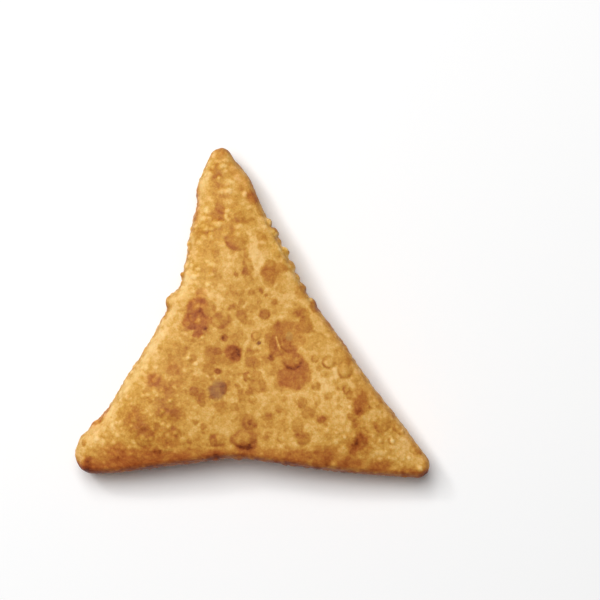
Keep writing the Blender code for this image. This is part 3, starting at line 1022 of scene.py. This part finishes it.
# Painted shade: the lower side and the lower rim, turned away from the lamp, are painted darker and redder.
painted_shade_lower_side = smooth_step(0.2, -0.7, outwards[:, 1]) * (1.0 - 0.75 * faces_up)
painted_shade_lower_rim = smooth_step(-0.1, -0.5, outwards[:, 1]) * smooth_step(5.0, 1.0, from_edge + 0.5 * patchy) * upper_half
warm_rim = smooth_step(0.1, 0.6, outwards[:, 0]) * smooth_step(4.0, 0.5, from_edge) * smooth_step(6.0, -6.0, y)
left_line = left_column * smooth_step(0.9, 0.1, from_edge)
spots = smooth_step(0.30, 0.75, layered_noise(skin_points, 5.0, 91)) * (1.0 - 0.85 * plain_face)
browning = (
    BASE_BROWNING
    + bells(BROWN_ZONES)
    + mottling
    + 0.15 * smudges
    + 0.10 * spots
    + marks
    + crease_brown
    # painted glints on the tight bubbles
    - PEARL_PAINTED_GLINT * pearl_painted_glint
    # painted highlight down the left edge
    - 0.18 * painted_highlight_strip
    + 0.06 * steep
    + 0.05 * (1.0 - upper_half)
    # painted shade on the lower side and the lower rim
    + 0.18 * painted_shade_lower_side
    + 0.20 * painted_shade_lower_rim
    + 0.06 * warm_rim
    + 0.08 * left_line
    + 0.05 * faces_down
    # pebble tops paler and grooves darker: partly the dough, partly painted highlight and painted shade
    + 0.36 * (0.40 - pebble_dome) * roughness_of_crust
)
# The reddening also carries the painted shade of the lower side and the lower rim.
reddening = stain_red + 0.15 * spots + 0.15 * painted_shade_lower_side + 0.32 * painted_shade_lower_rim + 0.12 * steep + 0.30 * warm_rim + 0.20 * left_line
print("browning:", np.round(np.percentile(browning, (1, 25, 50, 75, 99)), 2))


def keep_on_vertices(mesh, name, values):
    """Stores one number for each vertex under that name."""
    mesh.attributes.new(name, "FLOAT", "POINT").data.foreach_set("value", values.astype(np.float32))


keep_on_vertices(crust_mesh, "browning", np.clip(browning, 0.0, 1.0))
keep_on_vertices(crust_mesh, "reddening", np.clip(reddening, -1.0, 1.0))
keep_on_vertices(crust_mesh, "pebbled", roughness_of_crust)

# %% [markdown]
# ## A flat map of the skin
#
# Whoever paints or bakes this crust needs it laid out flat. The face and the underside are seen
# straight on, the underside turned half round so that the two bowed triangles nest, and the wall is
# unrolled into two strips below them. All four share one scale.

# %% Charts
MAP_WIDTH = 152.0  # millimetres across the whole map
MAP_EDGE = 2.0
STRIP_HEIGHT = 24.0


def wall_lengths():
    """For each grid vertex, how far round the outline it is and how far along its column from the resting patch."""
    rows = crust_points[grid]
    along = np.cumsum(np.hypot(*(np.roll(outline, -1, axis=0) - outline).T))
    steps = np.linalg.norm(np.diff(rows, axis=0), axis=2).mean(axis=1)
    return np.concatenate([[0.0], along]), np.concatenate([[0.0], np.cumsum(steps)])


round_outline, up_profile = wall_lengths()
first_wall_row = UNDERSIDE_ROWS + 8
last_wall_row = UNDERSIDE_ROWS + LOWER_ROLL_ROWS + WALL_ROWS + 12


def chart_corners():
    """Map places for the corners of every face: chosen by the face's lowest row, all at one scale."""
    row_of, column_of = np.zeros(len(crust_points), int), np.zeros(len(crust_points), int)
    row_of[grid.ravel()] = np.repeat(np.arange(len(grid)), columns)
    column_of[grid.ravel()] = np.tile(np.arange(columns), len(grid))
    places = []
    for group in (quads, triangles):
        row = row_of[group].min(axis=1)[:, None]
        column = column_of[group]
        wraps = (column.max(axis=1) - column.min(axis=1) > columns / 2)[:, None] & (column == 0)
        column = np.where(wraps, columns, column)
        point = crust_points[group]
        face = np.stack([point[..., 0] - low[0], point[..., 1] - low[1]], axis=-1)
        shift = np.array([MAP_WIDTH - 2 * MAP_EDGE - (high[0] - low[0]), 0.0])
        under = np.stack([high[0] - point[..., 0], high[1] - point[..., 1]], axis=-1) + shift
        second = (column.max(axis=1) > columns // 2)[:, None]
        run = round_outline[column] - np.where(second, round_outline[columns // 2], 0.0)
        climb = up_profile[row_of[group]] - up_profile[first_wall_row] + np.where(second, STRIP_HEIGHT, 0.0)
        wall = np.stack([run, high[1] - low[1] + MAP_EDGE + climb], axis=-1)
        on_wall = ((row >= first_wall_row) & (row < last_wall_row))[..., None]
        chosen = np.where(on_wall, wall, np.where((row < first_wall_row)[..., None], under, face))
        places.append((chosen + MAP_EDGE) / MAP_WIDTH)
    return np.concatenate([place.reshape(-1, 2) for place in places])


charts = chart_corners()
chart_layer = crust_mesh.uv_layers.new(name="OFBake")
chart_layer.uv.foreach_set("vector", charts.astype(np.float32).ravel())
print("charts fill", np.round(charts.min(axis=0), 3), "to", np.round(charts.max(axis=0), 3))

# %% [markdown]
# ## The crust's material
#
# Fried wheat dough is a dull, slightly see-through solid under a thin film of frying oil. The dough
# gives the colour and the rough grain, the oil a soft shine with small sharp glints on each pebble.
# Colours are written as they look on a screen and turned to linear light by one function.

# %% Colours and nodes
def linear(colour):
    """A colour like "#C59049" in linear light: ((c + 0.055) / 1.055)^2.4 for each part, or c / 12.92 if dark."""
    parts = np.array([int(colour[k : k + 2], 16) for k in (1, 3, 5)]) / 255.0
    light = np.where(parts > 0.04045, ((parts + 0.055) / 1.055) ** 2.4, parts / 12.92)
    return (*light, 1.0)


def add_node(tree, kind, links=(), **settings):
    """Adds a node of that kind, sets its properties, or else its input values, and links (socket, input) pairs."""
    node = tree.nodes.new(kind)
    for name, value in settings.items():
        if hasattr(node, name):
            setattr(node, name, value)
        else:
            node.inputs[name.replace("_", " ")].default_value = value
    for source, target in links:
        tree.links.new(source, node.inputs[target])
    return node


def set_stops(ramp, stops):
    """Gives a Color Ramp these (place, colour) stops."""
    elements = ramp.color_ramp.elements
    for place, colour in stops[2:]:
        elements.new(place)
    for element, (place, colour) in zip(elements, sorted(stops)):
        element.position = place
        element.color = colour


# From raw-looking cream to the dark rim of a burst blister.
FRYING_COLOURS = (
    (0.00, "#F3CD8E"),
    (0.18, "#E7BA74"),
    (0.34, "#D3A04D"),
    (0.50, "#BF8538"),
    (0.66, "#AD6B2E"),
    (0.82, "#985320"),
    (1.00, "#6F3314"),
)
# Sizes of the patterns in millimetres. The crumb is really finer, and is drawn as coarse as it needs to show.
GRAIN_SIZE, GRAIN_STRENGTH, GRAIN_HEIGHT = 0.45, 0.18, 0.03
SPECKLE_SIZE, SPECKLE_STRENGTH = 0.9, 0.32
MOTTLE_SIZE, MOTTLE_STRENGTH = 2.2, 0.26
# How much paler the pebble tops are painted in the material: partly paler dough, partly a painted highlight.
PEBBLE_SIZE, PEBBLE_HEIGHT, PEBBLE_PALENESS_AND_HIGHLIGHT = 1.0, 0.12, 0.09
FRECKLE_SIZE, FRECKLE_BROWNING = 2.3, 0.16
STIR_SIZE, STIR_STRENGTH = 1.5, 0.9


def noise_scale(size):
    """The Scale of a noise pattern whose features are that many millimetres, on coordinates in metres."""
    return 1.0 / (size * MM)


def domes(tree, place, size):
    """One dome in each cell of that size: 1 - (distance / own radius)^2, times its own strength, above 0."""
    cells = add_node(tree, "ShaderNodeTexVoronoi", [(place, "Vector")], Scale=noise_scale(size))
    own = add_node(tree, "ShaderNodeSeparateColor", [(cells.outputs["Color"], "Color")])
    radius = add_node(tree, "ShaderNodeMapRange", [(own.outputs["Red"], "Value")], To_Min=0.30, To_Max=0.65)
    out = add_node(tree, "ShaderNodeMath", [(cells.outputs["Distance"], 0), (radius.outputs[0], 1)])
    out.operation = "DIVIDE"
    squared = add_node(tree, "ShaderNodeMath", [(out.outputs[0], 0), (out.outputs[0], 1)])
    squared.operation = "MULTIPLY"
    dome = add_node(tree, "ShaderNodeMath", [(squared.outputs[0], 1)], operation="SUBTRACT", use_clamp=True)
    dome.inputs[0].default_value = 1.0
    height = add_node(tree, "ShaderNodeMath", [(dome.outputs[0], 0), (own.outputs["Green"], 1)])
    height.operation = "MULTIPLY"
    return height.outputs[0]


def stirred_place(tree, place):
    """The place moved by soft noise, so that the domes' circles come out uneven."""
    noise = add_node(tree, "ShaderNodeTexNoise", [(place, "Vector")], Scale=noise_scale(STIR_SIZE))
    centred = add_node(tree, "ShaderNodeVectorMath", [(noise.outputs["Color"], 0)], operation="SUBTRACT")
    centred.inputs[1].default_value = (0.5, 0.5, 0.5)
    moved = add_node(tree, "ShaderNodeVectorMath", [(centred.outputs[0], 0), (place, 2)])
    moved.operation = "MULTIPLY_ADD"
    moved.inputs[1].default_value = (STIR_STRENGTH * MM,) * 3
    return moved.outputs[0]


def fried_wheat_dough():
    """Deep-fried wheat dough, blistered by steam: matte golden crumb under a thin film of oil."""
    material = bpy.data.materials.new("fried_wheat_dough")
    material.use_nodes = True
    tree = material.node_tree
    shader = tree.nodes["Principled BSDF"]
    place = add_node(tree, "ShaderNodeTexCoord").outputs["Object"]
    browning = add_node(tree, "ShaderNodeAttribute", attribute_name="browning").outputs["Fac"]
    reddening = add_node(tree, "ShaderNodeAttribute", attribute_name="reddening").outputs["Fac"]
    pebbled = add_node(tree, "ShaderNodeAttribute", attribute_name="pebbled").outputs["Fac"]

    mottle = add_node(tree, "ShaderNodeTexNoise", [(place, "Vector")], Scale=noise_scale(MOTTLE_SIZE), Detail=2.0)
    speckle = add_node(tree, "ShaderNodeTexNoise", [(place, "Vector")], Scale=noise_scale(SPECKLE_SIZE), Detail=2.0)
    grain = add_node(tree, "ShaderNodeTexNoise", [(place, "Vector")], Scale=noise_scale(GRAIN_SIZE), Detail=2.0)
    stirred_about = stirred_place(tree, place)
    pebble = domes(tree, stirred_about, PEBBLE_SIZE)
    raised = add_node(tree, "ShaderNodeMath", [(pebble, 0), (pebbled, 1)], operation="MULTIPLY").outputs[0]
    freckle = domes(tree, stirred_about, FRECKLE_SIZE)

    # Each pattern moves the browning up and down about its own middle.
    total = browning
    for pattern, middle, strength in (
        (mottle.outputs["Fac"], 0.5, MOTTLE_STRENGTH),
        (speckle.outputs["Fac"], 0.5, SPECKLE_STRENGTH),
        (grain.outputs["Fac"], 0.5, GRAIN_STRENGTH),
        # pebble tops painted paler: partly dough, partly painted highlight
        (raised, 0.1, -PEBBLE_PALENESS_AND_HIGHLIGHT),
        (freckle, 0.15, FRECKLE_BROWNING),
    ):
        centred = add_node(tree, "ShaderNodeMath", [(pattern, 0)], operation="SUBTRACT")
        centred.inputs[1].default_value = middle
        added = add_node(tree, "ShaderNodeMath", [(centred.outputs[0], 0), (total, 2)], operation="MULTIPLY_ADD")
        added.inputs[1].default_value = strength
        total = added.outputs[0]
    ramp = add_node(tree, "ShaderNodeValToRGB", [(total, "Fac")])
    set_stops(ramp, [(stop, linear(colour)) for stop, colour in FRYING_COLOURS])

    soaked = add_node(tree, "ShaderNodeMix", [(pebbled, "Factor"), (ramp.outputs["Color"], 6)], data_type="RGBA")
    soaked.blend_type = "MULTIPLY"
    soaked.inputs[7].default_value = (1.0, 0.98, 0.80, 1.0)
    redder = add_node(tree, "ShaderNodeMix", [(reddening, "Factor"), (soaked.outputs[2], 6)], data_type="RGBA")
    redder.blend_type = "MULTIPLY"
    redder.inputs[7].default_value = (1.0, 0.77, 0.86, 1.0)
    pale = add_node(tree, "ShaderNodeMath", [(reddening, 0)], operation="MULTIPLY", use_clamp=True)
    pale.inputs[1].default_value = -1.0
    greyer = add_node(tree, "ShaderNodeMix", [(pale.outputs[0], "Factor"), (redder.outputs[2], 6)], data_type="RGBA")
    greyer.inputs[7].default_value = linear("#957657")
    tree.links.new(greyer.outputs[2], shader.inputs["Base Color"])

    oiled = add_node(tree, "ShaderNodeMapRange", [(pebbled, "Value")], To_Min=0.56, To_Max=0.36)
    rough = add_node(tree, "ShaderNodeMath", [(speckle.outputs["Fac"], 0), (oiled.outputs[0], 2)])
    rough.operation = "MULTIPLY_ADD"
    rough.inputs[1].default_value = 0.1
    tree.links.new(rough.outputs[0], shader.inputs["Roughness"])
    coarse = add_node(tree, "ShaderNodeBump", [(raised, "Height")], Distance=PEBBLE_HEIGHT * MM)
    fine = add_node(tree, "ShaderNodeBump", [(grain.outputs["Fac"], "Height"), (coarse.outputs["Normal"], "Normal")])
    fine.inputs["Distance"].default_value = GRAIN_HEIGHT * MM
    tree.links.new(fine.outputs["Normal"], shader.inputs["Normal"])
    shader.inputs["IOR"].default_value = 1.47  # frying oil
    shader.inputs["Specular IOR Level"].default_value = 0.13
    shader.inputs["Subsurface Weight"].default_value = 0.15
    shader.inputs["Subsurface Radius"].default_value = (1.0, 0.40, 0.15)
    shader.inputs["Subsurface Scale"].default_value = 1.5 * MM
    return material


crust = bpy.data.objects.new("fried_crust", crust_mesh)
bpy.context.scene.collection.objects.link(crust)
crust_mesh.materials.append(fried_wheat_dough())
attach(crust, "root")
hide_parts("samosa")

# %% [markdown]
# ## Floor, light and camera
#
# The samosa lies on a plain near-white floor in a bright, soft studio. A broad lamp above the upper
# left gives the face its direction, and a smaller one beside it puts the glints on the oil.

# %% Floor
FLOOR_SIZE = 3.0


def plain_floor():
    """A square of matte board at the height that the samosa rests on."""
    half = FLOOR_SIZE / 2.0
    mesh = bpy.data.meshes.new("floor")
    corners = [(-half, -half, 0.0), (half, -half, 0.0), (half, half, 0.0), (-half, half, 0.0)]
    mesh.from_pydata(corners, [], [(0, 1, 2, 3)])
    material = bpy.data.materials.new("white_board")
    material.use_nodes = True
    shader = material.node_tree.nodes["Principled BSDF"]
    shader.inputs["Base Color"].default_value = (0.98, 0.98, 0.98, 1.0)
    shader.inputs["Roughness"].default_value = 0.9
    shader.inputs["Specular IOR Level"].default_value = 0.1
    mesh.materials.append(material)
    board = bpy.data.objects.new("floor", mesh)
    bpy.context.scene.collection.objects.link(board)
    return board


plain_floor()


# %% Lights
def soft_lamp(name, direction, distance, size, power, colour=(1.0, 1.0, 1.0)):
    """A square lamp that far from the samosa in that direction, facing it."""
    lamp = bpy.data.lights.new(name, "AREA")
    lamp.size = size
    lamp.energy = power
    lamp.color = colour
    away = Vector(direction).normalized()
    holder = bpy.data.objects.new(name, lamp)
    holder.location = away * distance
    holder.rotation_mode = "QUATERNION"
    holder.rotation_quaternion = away.to_track_quat("Z", "Y")
    bpy.context.scene.collection.objects.link(holder)
    return holder


soft_lamp("broad_lamp", (-0.20, 0.25, 1.0), 1.2, 0.7, 13.6)
soft_lamp("glint_lamp", (-0.60, 0.50, 1.0), 1.0, 0.12, 1.2)

room = bpy.data.worlds.new("bright_room")
room.use_nodes = True
backdrop = room.node_tree.nodes["Background"]
backdrop.inputs["Color"].default_value = (1.0, 1.0, 1.0, 1.0)
backdrop.inputs["Strength"].default_value = 0.10
bpy.context.scene.world = room
bpy.context.scene.view_settings.view_transform = "Standard"

# %% Camera
CAMERA_BACK = Vector((-0.03, -0.045, 1.0)).normalized()
CAMERA_DISTANCE = 0.75
AIM = Vector((12.7, 3.4, 10.0)) * MM
SEEN_WIDTH = 161.0 * MM  # of the frame at the samosa


def looking_down():
    """A camera above the samosa and a little to its lower left, with the samosa's top up in the frame."""
    camera = bpy.data.cameras.new("camera")
    camera.lens = camera.sensor_width * CAMERA_DISTANCE / SEEN_WIDTH
    side = Vector((0.0, 1.0, 0.0)).cross(CAMERA_BACK).normalized()
    turned = Matrix((side, CAMERA_BACK.cross(side), CAMERA_BACK)).transposed()
    holder = bpy.data.objects.new("camera", camera)
    holder.matrix_world = Matrix.Translation(AIM + CAMERA_BACK * CAMERA_DISTANCE) @ turned.to_4x4()
    bpy.context.scene.collection.objects.link(holder)
    bpy.context.scene.camera = holder


looking_down()
